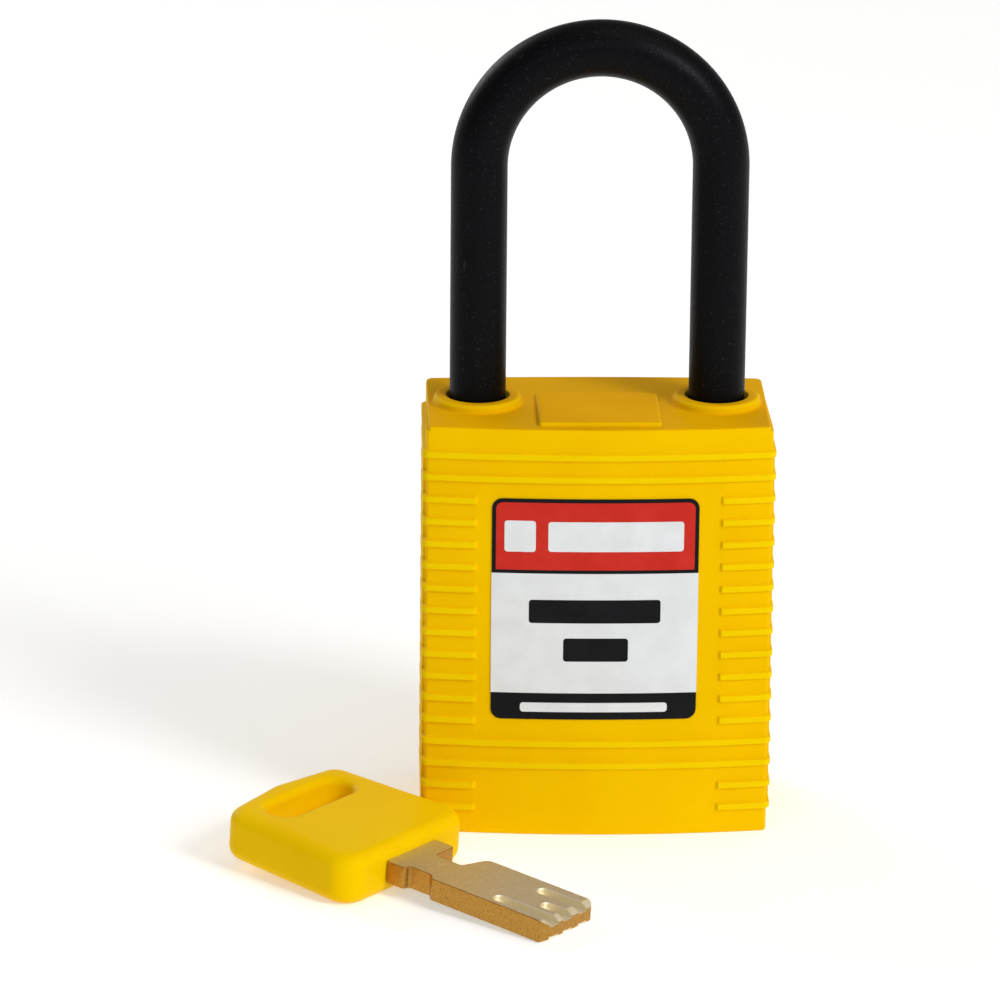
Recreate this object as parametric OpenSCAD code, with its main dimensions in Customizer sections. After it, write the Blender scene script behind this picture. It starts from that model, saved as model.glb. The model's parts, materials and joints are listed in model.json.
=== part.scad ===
/* [Body] */
// Width of the body at its top
body_w = 38.4; // [37.4:0.2:44]
// How much further out each side stands at the base than at the top
side_draft = 0.12; // [0:0.02:0.6]
// Depth of the body at its side edges
body_d = 19.2; // [19.2:0.2:26]
// Height of the body, without the collars
body_h = 48.2; // [44:0.2:60]
// How far the front face bulges out in its middle
front_crown = 1.4; // [0.6:0.1:2.4]
// How far the back face bulges out in its middle
back_crown = 0.55; // [0.3:0.05:1.5]
// Rounding of the front and back top edges
top_edge_r = 0.6; // [0.4:0.1:1.6]
// Rounding of the two upper corners, seen from the front
corner_r = 0.6; // [0.4:0.1:1.4]
// Thickness of the roof over the latch bolts
roof_t = 3.6; // [2:0.1:5]
// Wall left around the cover at the base
rim_t = 1.1; // [0.9:0.05:1.2]
// Width of the plain raised pad on top
pad_w = 13.8; // [8:0.2:15]
// Depth of that pad
pad_d = 12.2; // [6:0.2:13]
// How far the middle of the pad lies in front of the middle of the body
pad_forward = 3.5; // [0:0.1:3.6]
// Height of that pad
pad_t = 0.45; // [0.2:0.05:0.9]

/* [Grip ribs] */
// Number of ribs from base to top
rib_count = 17; // [11:1:17]
// Distance from one rib to the next
rib_pitch = 2.61; // [2.2:0.01:2.65]
// Height of the lowest rib's middle above the base
first_rib_z = 3.25; // [2.8:0.05:3.6]
// Height of one rib
rib_h = 0.85; // [0.4:0.05:1.0]
// How far the ribs stand out of the front and the back
rib_proud = 0.38; // [0.2:0.02:0.6]
// Where the short ribs end, from the middle of the face
rib_inner_x = 13.8; // [12.5:0.1:15]
// How far the side bands stand out of the sides
band_proud = 0.41; // [0.2:0.01:0.6]
// How far the ribs stand out of those bands
band_rib_proud = 0.17; // [0.1:0.01:0.4]
// Plain width at each side edge, before the narrow groove
edge_w = 0.6; // [0.4:0.1:1.0]
// Width of the narrow groove beside each band
groove_w = 0.8; // [0.5:0.1:1.2]
// Depth of that groove
groove_t = 0.4; // [0.2:0.05:0.5]
// Height of the bands' lower end
band_bottom = 2.8; // [2:0.1:4]
// Distance of the bands' upper end from the top of the body
band_top_gap = 2.9; // [1.6:0.1:4]

/* [Shackle] */
// Diameter of the shackle
shackle_d = 6.35; // [5.6:0.05:6.4]
// Distance between the middles of its legs
leg_spacing = 27; // [26.6:0.1:28.2]
// Free height under the bow, above the collars
window_h = 36.85; // [20:0.05:80]
// Radial room around each leg
leg_play = 0.4; // [0.3:0.05:0.5]
// How deep the short leg reaches below the top of the body
toe_depth = 10.3; // [9.8:0.1:12]
// How far the end of the short leg clears the collar when open
lift_spare = 0.25; // [0.2:0.05:1.5]
// Outer diameter of the collar around each leg
collar_d = 10.1; // [9.4:0.1:11]
// Height of that collar
collar_h = 0.95; // [0.4:0.05:2]
// Chamfer on the ends of the legs
leg_chamfer = 0.6; // [0.2:0.1:0.9]

/* [Latch] */
// How deep each bolt reaches into its notch
bolt_reach = 1.1; // [0.8:0.05:1.2]
// How far each bolt draws in over a quarter turn
bolt_travel = 3.3; // [3.2:0.05:3.5]
// Height of a latch bolt
bolt_h = 5.1; // [4.8:0.1:5.4]
// Width of a latch bolt
bolt_w = 5; // [3.6:0.1:6]
// Height of the upright land at the tip of a bolt
bolt_land = 1.0; // [0.6:0.1:1.1]
// Thickness of the scroll cam
cam_t = 2.0; // [1.4:0.1:3]
// Diameter of the scroll cam
cam_d = 16.2; // [15.6:0.1:16.4]
// Diameter of the pins under the bolts
drive_pin_d = 1.8; // [1.4:0.1:2]
// Room between a sliding part and its guide
slide_play = 0.15; // [0.1:0.01:0.2]

/* [Lock cylinder] */
// Outer diameter of the cylinder housing
housing_d = 16.4; // [16.3:0.1:17]
// Diameter of the plug
plug_d = 10.6; // [10.2:0.1:11.4]
// Radial room around the plug and its spindle
plug_play = 0.05; // [0.03:0.01:0.08]
// Diameter of the plug's spindle
spindle_d = 3.4; // [3.3:0.05:3.5]
// Side of the square that drives the cam
square_w = 2.4; // [2.2:0.05:2.45]
// Diameter of a key pin and a driver pin
pin_d = 1.0; // [0.8:0.05:1.05]
// Radial room around a pin
pin_play = 0.03; // [0.02:0.01:0.05]
// Share of the height between the key's end and the pins' cap that a driver pin takes
driver_share = 0.25; // [0.2:0.01:0.28]
// Share of that height that a pin spring takes as it sits
pin_spring_share = 0.29; // [0.22:0.01:0.32]
// Wire of a pin spring
pin_wire_d = 0.18; // [0.14:0.01:0.2]
// Thickness of the disc over the pin springs
cap_t = 1.0; // [0.6:0.1:1.5]
// Diameter of that disc
cap_d = 13; // [11:0.2:14]
// Thickness of the plug's retaining clip
clip_t = 0.6; // [0.4:0.05:0.7]
// How far the plug's face lies above the base
plug_recess = 0.4; // [0.2:0.1:1]

/* [Cover and screw] */
// Thickness of the bottom cover
cover_t = 2.2; // [1.6:0.1:3]
// Height of the cover's threaded boss above the cover
boss_h = 5.3; // [4:0.1:7]
// Thickness of the web that the retaining screw clamps
web_t = 4.3; // [3:0.1:6]
// Thread diameter of the retaining screw
screw_d = 3.0; // [2.5:0.1:3.5]
// Head diameter of the retaining screw
screw_head_d = 5.6; // [5:0.1:6.2]
// Head height of the retaining screw
screw_head_h = 1.8; // [1.2:0.1:2.5]

/* [Heel retention] */
// Outer diameter of the clip on the long leg
heel_clip_d = 7.9; // [7.7:0.05:8]
// Thickness of that clip
heel_clip_t = 0.8; // [0.6:0.05:1.2]
// Length of the long leg below its clip
heel_tail = 2.0; // [1.4:0.1:3]
// Wire of the shackle spring
spring_wire_d = 0.8; // [0.6:0.05:0.9]
// Number of turns of the shackle spring
spring_turns = 7; // [5:1:9]

/* [Label] */
// Width of the label
label_w = 23.2; // [18:0.2:25]
// Height of the label
label_h = 26.1; // [20:0.1:26.4]
// How far the label lies to the right of the middle of the face
label_x = -0.3; // [-0.8:0.1:0.8]
// Height of the label's middle above the base
label_z = 27.1; // [26.4:0.1:27.6]
// Corner radius of the label
label_r = 1.17; // [0.5:0.01:3]
// Thickness of the label
label_t = 0.15; // [0.1:0.01:0.3]

/* [Key] */
// Width of the key's blade
blade_w = 8.6; // [7.6:0.1:8.8]
// Thickness of the blade
blade_t = 2.6; // [2:0.1:2.9]
// Length of the blade outside the bow
blade_len = 22.6; // [20:0.1:23.4]
// Room around the blade in the plug
keyway_play = 0.2; // [0.1:0.05:0.3]
// Length of the bow
bow_len = 20.5; // [18:0.1:30]
// Width of the bow
bow_w = 21; // [17:0.1:30]
// Thickness of the bow
bow_t = 6; // [4.5:0.1:8]
// Rounding along the bow's edges
bow_edge = 1.6; // [0.8:0.1:2]
// Length of the hanging slot
slot_len = 12.8; // [8:0.1:13.4]
// Width of the hanging slot
slot_w = 4.2; // [3:0.1:5]
// Length of the tang moulded into the bow
tang_len = 8; // [6:0.1:9]
// Turn of the key on the table, from the front
key_turn = 40; // [30:1:50]
// Place of the bow's end on the table, sideways
key_x = -22.5; // [-40:0.5:-15]
// Place of the bow's end on the table, in front of the middle of the body
key_y = -25; // [-60:0.5:-24]

/* [Hidden] */
$fn = 64;

// Overlap that carries a cut past the face it opens
CUT = 0.1;
// Reach of a box that is meant to pass beyond everything
FAR = 200;
// Quarter turn of the plug that opens the lock
TURN = 90;
// Gap that keeps touching faces of neighbouring pieces apart
SEAT = 0.02;

// Faces of the body
base_w = body_w + 2 * side_draft;
front_r = (pow(base_w / 2, 2) + pow(front_crown, 2)) / (2 * front_crown);
back_r = (pow(base_w / 2, 2) + pow(back_crown, 2)) / (2 * back_crown);
front_y = -body_d / 2 - front_crown;
back_y = body_d / 2 + back_crown;
// The two highest ribs and two near the base run right across
full_ribs = [rib_count - 1, rib_count - 2, 2, 3];
band_y = body_d / 2 - edge_w - groove_w;

// Shackle and its bores
leg_x = leg_spacing / 2;
leg_r = shackle_d / 2;
bore_r = leg_r + leg_play;
arch_z = body_h + collar_h + window_h - leg_x + leg_r;
toe_z = body_h - toe_depth;
lift = toe_depth + collar_h + lift_spare;

// Latch, from the roof downwards
ceiling_z = body_h - roof_t;
bolt_top = ceiling_z - slide_play;
bolt_bottom = bolt_top - bolt_h;
cam_top = bolt_bottom - slide_play;
cam_bottom = cam_top - cam_t;
chamber_top = cam_top + slide_play / 2;
leg_inner_x = leg_x - leg_r;
tip_x = leg_inner_x + bolt_reach;
ramp = bolt_travel / lift;
drive_pin_r = cam_d / 2 - drive_pin_d / 2 - slide_play - 0.85;

// Cylinder, from the cam downwards
clip_top = cam_bottom - 0.4;
clip_bottom = clip_top - clip_t;
housing_top = clip_bottom - slide_play;
spring_top = housing_top - cap_t;
housing_bottom = cover_t;
plug_bottom = plug_recess;
keyway_top = plug_bottom + blade_len;
driver_len = driver_share * (spring_top - keyway_top);
pin_spring_len = pin_spring_share * (spring_top - keyway_top);
shear_z = spring_top - pin_spring_len - driver_len;
housing_r = housing_d / 2;
pocket_r = housing_r + plug_play;
plug_r = plug_d / 2;
spindle_r = spindle_d / 2;
keyway_w = blade_w + 2 * keyway_play;
keyway_t = blade_t + 2 * keyway_play;
// The pins stand in a ring around the spindle, inside the blade's outline
pin_row_y = keyway_t / 2 - pin_d / 2 - 0.25;
inner_pin_x = spindle_r + pin_d / 2 + 0.25;
outer_pin_x = keyway_w / 2 - pin_d / 2 - 0.35;
pin_places = [[inner_pin_x, pin_row_y], [inner_pin_x, -pin_row_y], [outer_pin_x, 0],
    [-inner_pin_x, pin_row_y], [-inner_pin_x, -pin_row_y], [-outer_pin_x, 0]];
// How far the key lifts each pin above the end of the keyway
key_cuts = [0.4, 1.2, 0.8, 1.6, 0.6, 1.0];
// Rib that keeps the housing from turning, on a corner of the body
lug_w = 3;
lug_t = 0.8;

// Retaining screw, reached down the bore of the short leg
boss_r = bore_r - 0.3;
web_bottom = cover_t + boss_h + 0.2;
web_top = web_bottom + web_t;
screw_bottom = cover_t;

// Long leg, its clip and its spring
heel_bore_r = heel_clip_d / 2 + 0.15;
heel_step = bolt_bottom - slide_play - 3.2;
heel_clip_top = heel_step - lift - 0.1;
heel_clip_bottom = heel_clip_top - heel_clip_t;
heel_z = heel_clip_bottom - heel_tail;
heel_groove_r = leg_r - 0.8;
spring_bottom = cover_t + 1.0;
spring_r = heel_bore_r - spring_wire_d / 2 - 0.15;

// Key, lying as it comes to rest: its bow's lower edge and the tip of its blade touch the table
key_tilt = atan((bow_t - blade_t) / 2 / (blade_len + bow_edge));
notch_start = 2.8;
notch_end = 6.4;
notch_floor = 3.3;
tip_slots = [[2.15, 5.5], [-0.5, 2.8], [-2.8, 7.6]];
tip_slot_w = 1.5;
tip_slot_t = 0.75;

function arc(c, r, a0, a1, steps = 6) =
    [for (i = [0:steps]) c + r * [cos(a0 + (a1 - a0) * i / steps), sin(a0 + (a1 - a0) * i / steps)]];

// Points of one ring of a coil's wire, square to its run
function wire_ring(coil_r, wire_r, turn, z, sides) =
    [for (i = [0:sides - 1]) let (a = 360 * i / sides, r = coil_r + wire_r * cos(a))
        [r * cos(turn), r * sin(turn), z + wire_r * sin(a)]];

module spring(coil_r, wire_d, bottom, top, turns, sides, per_turn) {
    steps = turns * per_turn;
    rise = top - bottom - wire_d;
    points = [for (k = [0:steps])
        each wire_ring(coil_r, wire_d / 2, 360 * k / per_turn, bottom + wire_d / 2 + rise * k / steps, sides)];
    walls = [for (k = [0:steps - 1], i = [0:sides - 1])
        [k * sides + i, k * sides + (i + 1) % sides, (k + 1) * sides + (i + 1) % sides, (k + 1) * sides + i]];
    first = [for (i = [sides - 1:-1:0]) i];
    last = [for (i = [0:sides - 1]) steps * sides + i];
    polyhedron(points, concat([first], walls, [last]), convexity = 10);
}

// A vertical post whose upper rim is rounded: its edge carries the crown of a face
module crowned_post(r, h, edge) {
    rotate_extrude($fn = 720)
        polygon(concat([[0, 0], [r, 0]], arc([r - edge, h - edge], edge, 0, 90, 4), [[0, h]]));
}

// The body's outer form, grown at its faces and at its sides
module outer_form(face_grow, side_grow, h = body_h) {
    intersection() {
        translate([0, FAR, 0]) rotate([90, 0, 0]) linear_extrude(2 * FAR)
            polygon(concat([[-base_w / 2 - side_grow, 0], [base_w / 2 + side_grow, 0]],
                arc([body_w / 2 + side_grow - corner_r, h - corner_r], corner_r, 0, 90),
                arc([-body_w / 2 - side_grow + corner_r, h - corner_r], corner_r, 90, 180)));
        translate([0, front_y + front_r, 0]) crowned_post(front_r + face_grow, h, top_edge_r);
        translate([0, back_y - back_r, 0]) crowned_post(back_r + face_grow, h, top_edge_r);
    }
}

module rib_slabs() {
    for (i = [0:rib_count - 1])
        translate([0, 0, first_rib_z + i * rib_pitch])
            difference() {
                cube([FAR, FAR, rib_h], center = true);
                if (len(search(i, full_ribs)) == 0)
                    cube([2 * rib_inner_x, FAR + 1, 2 * rib_h], center = true);
            }
}

module bands() {
    for (side = [-1, 1])
        translate([side * (base_w / 2), 0, (band_bottom + body_h - band_top_gap) / 2])
            cube([base_w / 2, 2 * band_y, body_h - band_top_gap - band_bottom], center = true);
}

module edge_grooves() {
    for (side = [-1, 1], face = [-1, 1])
        translate([side * (body_w / 2 - groove_t + base_w / 4), face * (band_y + groove_w / 2),
            (band_bottom + body_h - band_top_gap) / 2])
            cube([base_w / 2, groove_w, body_h - band_top_gap - band_bottom], center = true);
}

module body_outside() {
    difference() {
        outer_form(0, 0);
        edge_grooves();
    }
    intersection() {
        outer_form(rib_proud, band_proud + band_rib_proud);
        rib_slabs();
    }
    intersection() {
        outer_form(0, band_proud);
        bands();
    }
    for (side = [-1, 1])
        translate([side * leg_x, 0, body_h - 1]) cylinder(r = collar_d / 2, h = collar_h + 1);
    translate([-pad_w / 2, -pad_forward - pad_d / 2, body_h - 1]) cube([pad_w, pad_d, pad_t + 1]);
}

module cover_outline(gap) {
    offset_w = body_w - 2 * rim_t - 2 * gap;
    offset_d = body_d - 2 * rim_t - 2 * gap;
    r = 1.5;
    for (flat = [[offset_w, offset_d - 2 * r], [offset_w - 2 * r, offset_d]]) square(flat, center = true);
    for (x = [-1, 1], y = [-1, 1])
        translate([x * (offset_w / 2 - r), y * (offset_d / 2 - r)]) circle(r);
}

module housing_lug(gap) {
    rotate([0, 0, 45])
        translate([housing_r - 1, -lug_w / 2 - gap, housing_bottom - gap])
            cube([1 + lug_t + gap, lug_w + 2 * gap, housing_top - housing_bottom + 2 * gap]);
}

module body_shell() {
    color("#f5c400") difference() {
        body_outside();
        translate([0, 0, -CUT]) linear_extrude(cover_t + CUT) cover_outline(0);
        translate([0, 0, -CUT]) cylinder(r = pocket_r, h = chamber_top + CUT);
        housing_lug(plug_play);
        translate([-leg_x, -bolt_w / 2 - slide_play, cam_top])
            cube([leg_spacing, bolt_w + 2 * slide_play, ceiling_z - cam_top]);
        // Long leg: guide above, clip and spring below
        translate([-leg_x, 0, -CUT]) cylinder(r = bore_r, h = FAR);
        translate([-leg_x, 0, -CUT]) cylinder(r = heel_bore_r, h = heel_step + CUT);
        // Short leg: guide down to the web, the screw's hole, and the boss below
        translate([leg_x, 0, web_top]) cylinder(r = bore_r, h = FAR);
        translate([leg_x, 0, 0]) cylinder(r = screw_d / 2 + slide_play, h = FAR);
        translate([leg_x, 0, -CUT]) cylinder(r = boss_r + slide_play, h = web_bottom + CUT);
    }
}

module bottom_cover() {
    color("#e0b000") difference() {
        union() {
            linear_extrude(cover_t - SEAT) cover_outline(slide_play);
            translate([leg_x, 0, 1]) cylinder(r = boss_r, h = cover_t - 1 + boss_h);
            translate([-leg_x, 0, 1]) cylinder(r = heel_bore_r - slide_play, h = spring_bottom - 1 - SEAT);
        }
        translate([0, 0, -CUT]) cylinder(r = plug_r + slide_play, h = cover_t + 2 * CUT);
        translate([leg_x, 0, screw_bottom - 0.3]) cylinder(r = screw_d / 2 + SEAT, h = boss_h + 1);
    }
}

module retaining_screw() {
    color("silver") translate([leg_x, 0, 0]) difference() {
        union() {
            translate([0, 0, screw_bottom]) cylinder(r = screw_d / 2, h = web_top + 1 - screw_bottom);
            translate([0, 0, web_top + SEAT]) cylinder(r = screw_head_d / 2, h = screw_head_h);
        }
        translate([0, 0, web_top + 0.6]) cylinder(r = 1.2, h = screw_head_h + 1, $fn = 6);
    }
}

// Room that a latch bolt's nose needs in a leg, open towards the middle of the body
module leg_notch() {
    gap = slide_play + 0.05;
    foot = bolt_top - bolt_land - (bolt_reach + gap) / ramp;
    rotate([90, 0, 0]) linear_extrude(FAR, center = true)
        polygon([[leg_inner_x - 1, bolt_top + 0.25], [tip_x + gap, bolt_top + 0.25],
            [tip_x + gap, bolt_top - bolt_land], [leg_inner_x, foot], [leg_inner_x - 1, foot]]);
}

module leg(bottom) {
    translate([0, 0, bottom]) cylinder(r1 = leg_r - leg_chamfer, r2 = leg_r, h = leg_chamfer);
    translate([0, 0, bottom + leg_chamfer]) cylinder(r = leg_r, h = arch_z - bottom - leg_chamfer);
}

module shackle() {
    color("#17181b") difference() {
        union() {
            translate([leg_x, 0, 0]) leg(toe_z);
            translate([-leg_x, 0, 0]) leg(heel_z);
            translate([0, 0, arch_z]) rotate([90, 0, 0])
                rotate_extrude(angle = 180) translate([leg_x, 0]) circle(leg_r);
        }
        leg_notch();
        mirror([1, 0, 0]) leg_notch();
        translate([-leg_x, 0, heel_clip_bottom - SEAT]) difference() {
            cylinder(r = leg_r + 1, h = heel_clip_t + 2 * SEAT);
            cylinder(r = heel_groove_r, h = heel_clip_t + 2 * SEAT);
        }
    }
}

// A flat ring with a slot that lets it slip over a groove
module open_ring(inner_r, outer_r, h, slot) {
    difference() {
        cylinder(r = outer_r, h = h);
        translate([0, 0, -CUT]) cylinder(r = inner_r, h = h + 2 * CUT);
        translate([-slot / 2, 0, -CUT]) cube([slot, outer_r + 1, h + 2 * CUT]);
    }
}

module heel_clip() {
    color("lightsteelblue") translate([-leg_x, 0, heel_clip_bottom])
        open_ring(heel_groove_r + SEAT, heel_clip_d / 2, heel_clip_t, 1.6 * heel_groove_r);
}

module shackle_spring() {
    color("gray") translate([-leg_x, 0, 0])
        spring(spring_r, spring_wire_d, spring_bottom, heel_z - SEAT, spring_turns, 8, 20);
}

module latch_bolt_right() {
    slope_foot = tip_x - (bolt_h - bolt_land) * ramp;
    color("silver") {
        rotate([90, 0, 0]) linear_extrude(bolt_w, center = true)
            polygon([[drive_pin_r - drive_pin_d / 2 - 1, bolt_bottom], [slope_foot, bolt_bottom],
                [tip_x, bolt_top - bolt_land], [tip_x, bolt_top],
                [drive_pin_r - drive_pin_d / 2 - 1, bolt_top]]);
        translate([drive_pin_r, 0, cam_bottom + 0.2])
            cylinder(r = drive_pin_d / 2, h = bolt_bottom - cam_bottom + 0.3);
    }
}

module latch_bolt_left() {
    rotate([0, 0, 180]) latch_bolt_right();
}

// A spiral slot that draws a drive pin in at a steady rate as the cam turns
module scroll_slot() {
    w = drive_pin_d / 2 + slide_play;
    reach = function(a) drive_pin_r - bolt_travel * a / TURN;
    // The slot runs at a slope, so it is wider along a radius than square to its run
    half = function(a) w * sqrt(1 + pow(bolt_travel * 180 / (PI * TURN * reach(a)), 2));
    steps = 15;
    outer = [for (i = [0:steps]) let (a = TURN * i / steps) (reach(a) + half(a)) * [cos(a), -sin(a)]];
    inner = [for (i = [steps:-1:0]) let (a = TURN * i / steps) (reach(a) - half(a)) * [cos(a), -sin(a)]];
    polygon(concat(outer, inner));
    for (a = [0, TURN]) rotate([0, 0, -a]) translate([reach(a), 0]) circle(w);
}

module scroll_cam() {
    color("goldenrod") translate([0, 0, cam_bottom + SEAT]) linear_extrude(cam_t - SEAT)
        difference() {
            circle(cam_d / 2);
            scroll_slot();
            rotate([0, 0, 180]) scroll_slot();
            square(square_w + 2 * SEAT, center = true);
        }
}

module pin_bores(bottom, top) {
    for (p = pin_places)
        translate([p.x, p.y, bottom]) cylinder(r = pin_d / 2 + pin_play, h = top - bottom, $fn = 32);
}

module cylinder_housing() {
    color("#b8a070") difference() {
        union() {
            translate([0, 0, housing_bottom]) cylinder(r = housing_r, h = housing_top - housing_bottom);
            housing_lug(0);
        }
        translate([0, 0, housing_bottom - CUT])
            cylinder(r = plug_r + plug_play, h = shear_z + plug_play - housing_bottom + CUT);
        translate([0, 0, shear_z]) cylinder(r = spindle_r + plug_play, h = FAR);
        translate([0, 0, spring_top]) cylinder(r = cap_d / 2 + SEAT, h = FAR);
        pin_bores(shear_z, spring_top + CUT);
    }
}

module pin_chamber_cap() {
    color("#c8b080") translate([0, 0, spring_top + SEAT]) difference() {
        cylinder(r = cap_d / 2, h = cap_t - SEAT);
        translate([0, 0, -CUT]) cylinder(r = spindle_r + slide_play, h = cap_t + 2 * CUT);
    }
}

module plug() {
    clip_groove_r = spindle_r - 0.4;
    color("#cda860") difference() {
        union() {
            translate([0, 0, plug_bottom]) cylinder(r = plug_r, h = shear_z - plug_bottom);
            translate([0, 0, shear_z - 1]) cylinder(r = spindle_r, h = cam_bottom - shear_z + 1);
            translate([0, 0, cam_bottom + cam_t / 2 - 0.5])
                cube([square_w, square_w, cam_t + 1], center = true);
        }
        translate([0, 0, plug_bottom + blade_len / 2 - CUT])
            cube([keyway_w, keyway_t, blade_len + 2 * CUT], center = true);
        pin_bores(keyway_top - 1, shear_z + CUT);
        translate([0, 0, clip_bottom - SEAT]) difference() {
            cylinder(r = spindle_r + 1, h = clip_t + 2 * SEAT);
            cylinder(r = clip_groove_r, h = clip_t + 2 * SEAT);
        }
    }
}

module plug_clip() {
    color("lightsteelblue") translate([0, 0, clip_bottom])
        open_ring(spindle_r - 0.4 + SEAT, spindle_r + 1.6, clip_t, 2 * spindle_r - 0.6);
}

module key_pin(n) {
    bottom = keyway_top + key_cuts[n - 1];
    color("#d8b868") translate([pin_places[n - 1].x, pin_places[n - 1].y, bottom]) {
        cylinder(r1 = pin_d / 4, r2 = pin_d / 2, h = pin_d / 4, $fn = 32);
        translate([0, 0, pin_d / 4]) cylinder(r = pin_d / 2, h = shear_z - bottom - pin_d / 4, $fn = 32);
    }
}

module driver_pin(n) {
    color("silver") translate([pin_places[n - 1].x, pin_places[n - 1].y, shear_z + plug_play])
        cylinder(r = pin_d / 2, h = driver_len - plug_play, $fn = 32);
}

module pin_spring(n) {
    color("gray") translate([pin_places[n - 1].x, pin_places[n - 1].y, 0])
        spring(pin_d / 2 - pin_wire_d / 2, pin_wire_d, shear_z + driver_len + SEAT, spring_top - SEAT, 4, 6, 10);
}

module front_label() {
    color("#e8e8e8") intersection() {
        translate([0, front_y + front_r, 0]) difference() {
            cylinder(r = front_r + label_t + SEAT, h = body_h, $fn = 720);
            translate([0, 0, -CUT]) cylinder(r = front_r + SEAT, h = body_h + 2 * CUT, $fn = 720);
        }
        translate([label_x, 0, label_z]) rotate([90, 0, 0]) linear_extrude(body_d) {
            for (flat = [[label_w, label_h - 2 * label_r], [label_w - 2 * label_r, label_h]])
                square(flat, center = true);
            for (x = [-1, 1], y = [-1, 1])
                translate([x * (label_w / 2 - label_r), y * (label_h / 2 - label_r)]) circle(label_r);
        }
    }
}

// Puts a key drawn along +X, with its bow's end face at x = 0, down on the table
module lay_key() {
    translate([key_x, key_y, 0]) rotate([0, 0, -key_turn]) rotate([0, key_tilt, 0])
        translate([bow_edge, 0, bow_t / 2]) children();
}

module bow_layer(inset, z, h) {
    near = bow_w / 2;
    far = bow_w / 2 - 0.8;
    translate([0, 0, z]) linear_extrude(h) hull() {
        for (y = [-1, 1]) translate([-3, y * (near - 3)]) circle(3 - inset, $fn = 32);
        for (y = [-1, 1]) translate([2.6 - bow_len + 0.9, y * (far - 2.6)]) circle(2.6 - inset, $fn = 32);
        translate([6 - bow_len, 0]) circle(6 - inset, $fn = 32);
    }
}

module key_bow() {
    color("#f5c400") lay_key() difference() {
        hull() {
            bow_layer(bow_edge, -bow_t / 2, bow_t);
            bow_layer(bow_edge * 0.3, -bow_t / 2 + bow_edge * 0.3, bow_t - bow_edge * 0.6);
            bow_layer(0, -bow_t / 2 + bow_edge, bow_t - 2 * bow_edge);
        }
        translate([5.6 - bow_len, 0, -bow_t]) {
            translate([-slot_w / 2, -slot_len / 2 + slot_w / 2, 0])
                cube([slot_w, slot_len - slot_w, 2 * bow_t]);
            for (y = [-1, 1]) translate([0, y * (slot_len - slot_w) / 2, 0]) cylinder(d = slot_w, h = 2 * bow_t);
        }
        translate([-tang_len - SEAT, -blade_w / 2 + 0.3 - SEAT, -blade_t / 2 - SEAT])
            cube([tang_len + 1, blade_w - 0.6 + 2 * SEAT, blade_t + 2 * SEAT]);
    }
}

module key_blade() {
    half = blade_w / 2;
    color("#c9b27c") lay_key() difference() {
        translate([0, 0, -blade_t / 2]) linear_extrude(blade_t) polygon([
            [-tang_len, -half + 0.3], [0, -half + 0.3], [0.2, -half], [notch_start - 0.2, -half],
            [notch_start, -half + 0.8], [notch_end - 0.6, -half + 0.8], [notch_end, -half],
            [blade_len - 0.8, -half], [blade_len, -half + 0.8], [blade_len, half - 0.6],
            [blade_len - 0.6, half], [notch_end + 1.2, half], [notch_end, half - notch_floor],
            [notch_start, half - notch_floor], [notch_start, half], [0.2, half], [0, half - 0.3],
            [-tang_len, half - 0.3]]);
        for (s = tip_slots, face = [0, 1])
            mirror([0, 0, face]) translate([blade_len - s[1], s[0], blade_t / 2 - tip_slot_t]) {
                translate([0, -tip_slot_w / 2, 0]) cube([s[1] + 1, tip_slot_w, blade_t]);
                cylinder(d = tip_slot_w, h = blade_t);
            }
    }
}

body_shell();
bottom_cover();
retaining_screw();
shackle();
heel_clip();
shackle_spring();
latch_bolt_right();
latch_bolt_left();
scroll_cam();
cylinder_housing();
pin_chamber_cap();
plug();
plug_clip();
key_pin(1);  // key_pin_1
key_pin(2);  // key_pin_2
key_pin(3);  // key_pin_3
key_pin(4);  // key_pin_4
key_pin(5);  // key_pin_5
key_pin(6);  // key_pin_6
driver_pin(1);  // driver_pin_1
driver_pin(2);  // driver_pin_2
driver_pin(3);  // driver_pin_3
driver_pin(4);  // driver_pin_4
driver_pin(5);  // driver_pin_5
driver_pin(6);  // driver_pin_6
pin_spring(1);  // pin_spring_1
pin_spring(2);  // pin_spring_2
pin_spring(3);  // pin_spring_3
pin_spring(4);  // pin_spring_4
pin_spring(5);  // pin_spring_5
pin_spring(6);  // pin_spring_6
front_label();
key_bow();
key_blade();
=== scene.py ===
# %% [markdown]
# # A ribbed lockout padlock with its key
# The lock is a moulded yellow nylon block with a tall black shackle, a printed label on its face and
# brass lock work inside. The engineering model is loaded first as a fixed frame. Then this lesson dresses
# it: the pieces whose edges, ribs and print matter to the eye are modelled again, finer, in the same
# places, and every other piece keeps its shape and gets a finish.

# %% Load the frame
import json
import math

import bmesh
import bpy
from mathutils import Matrix, Vector

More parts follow.
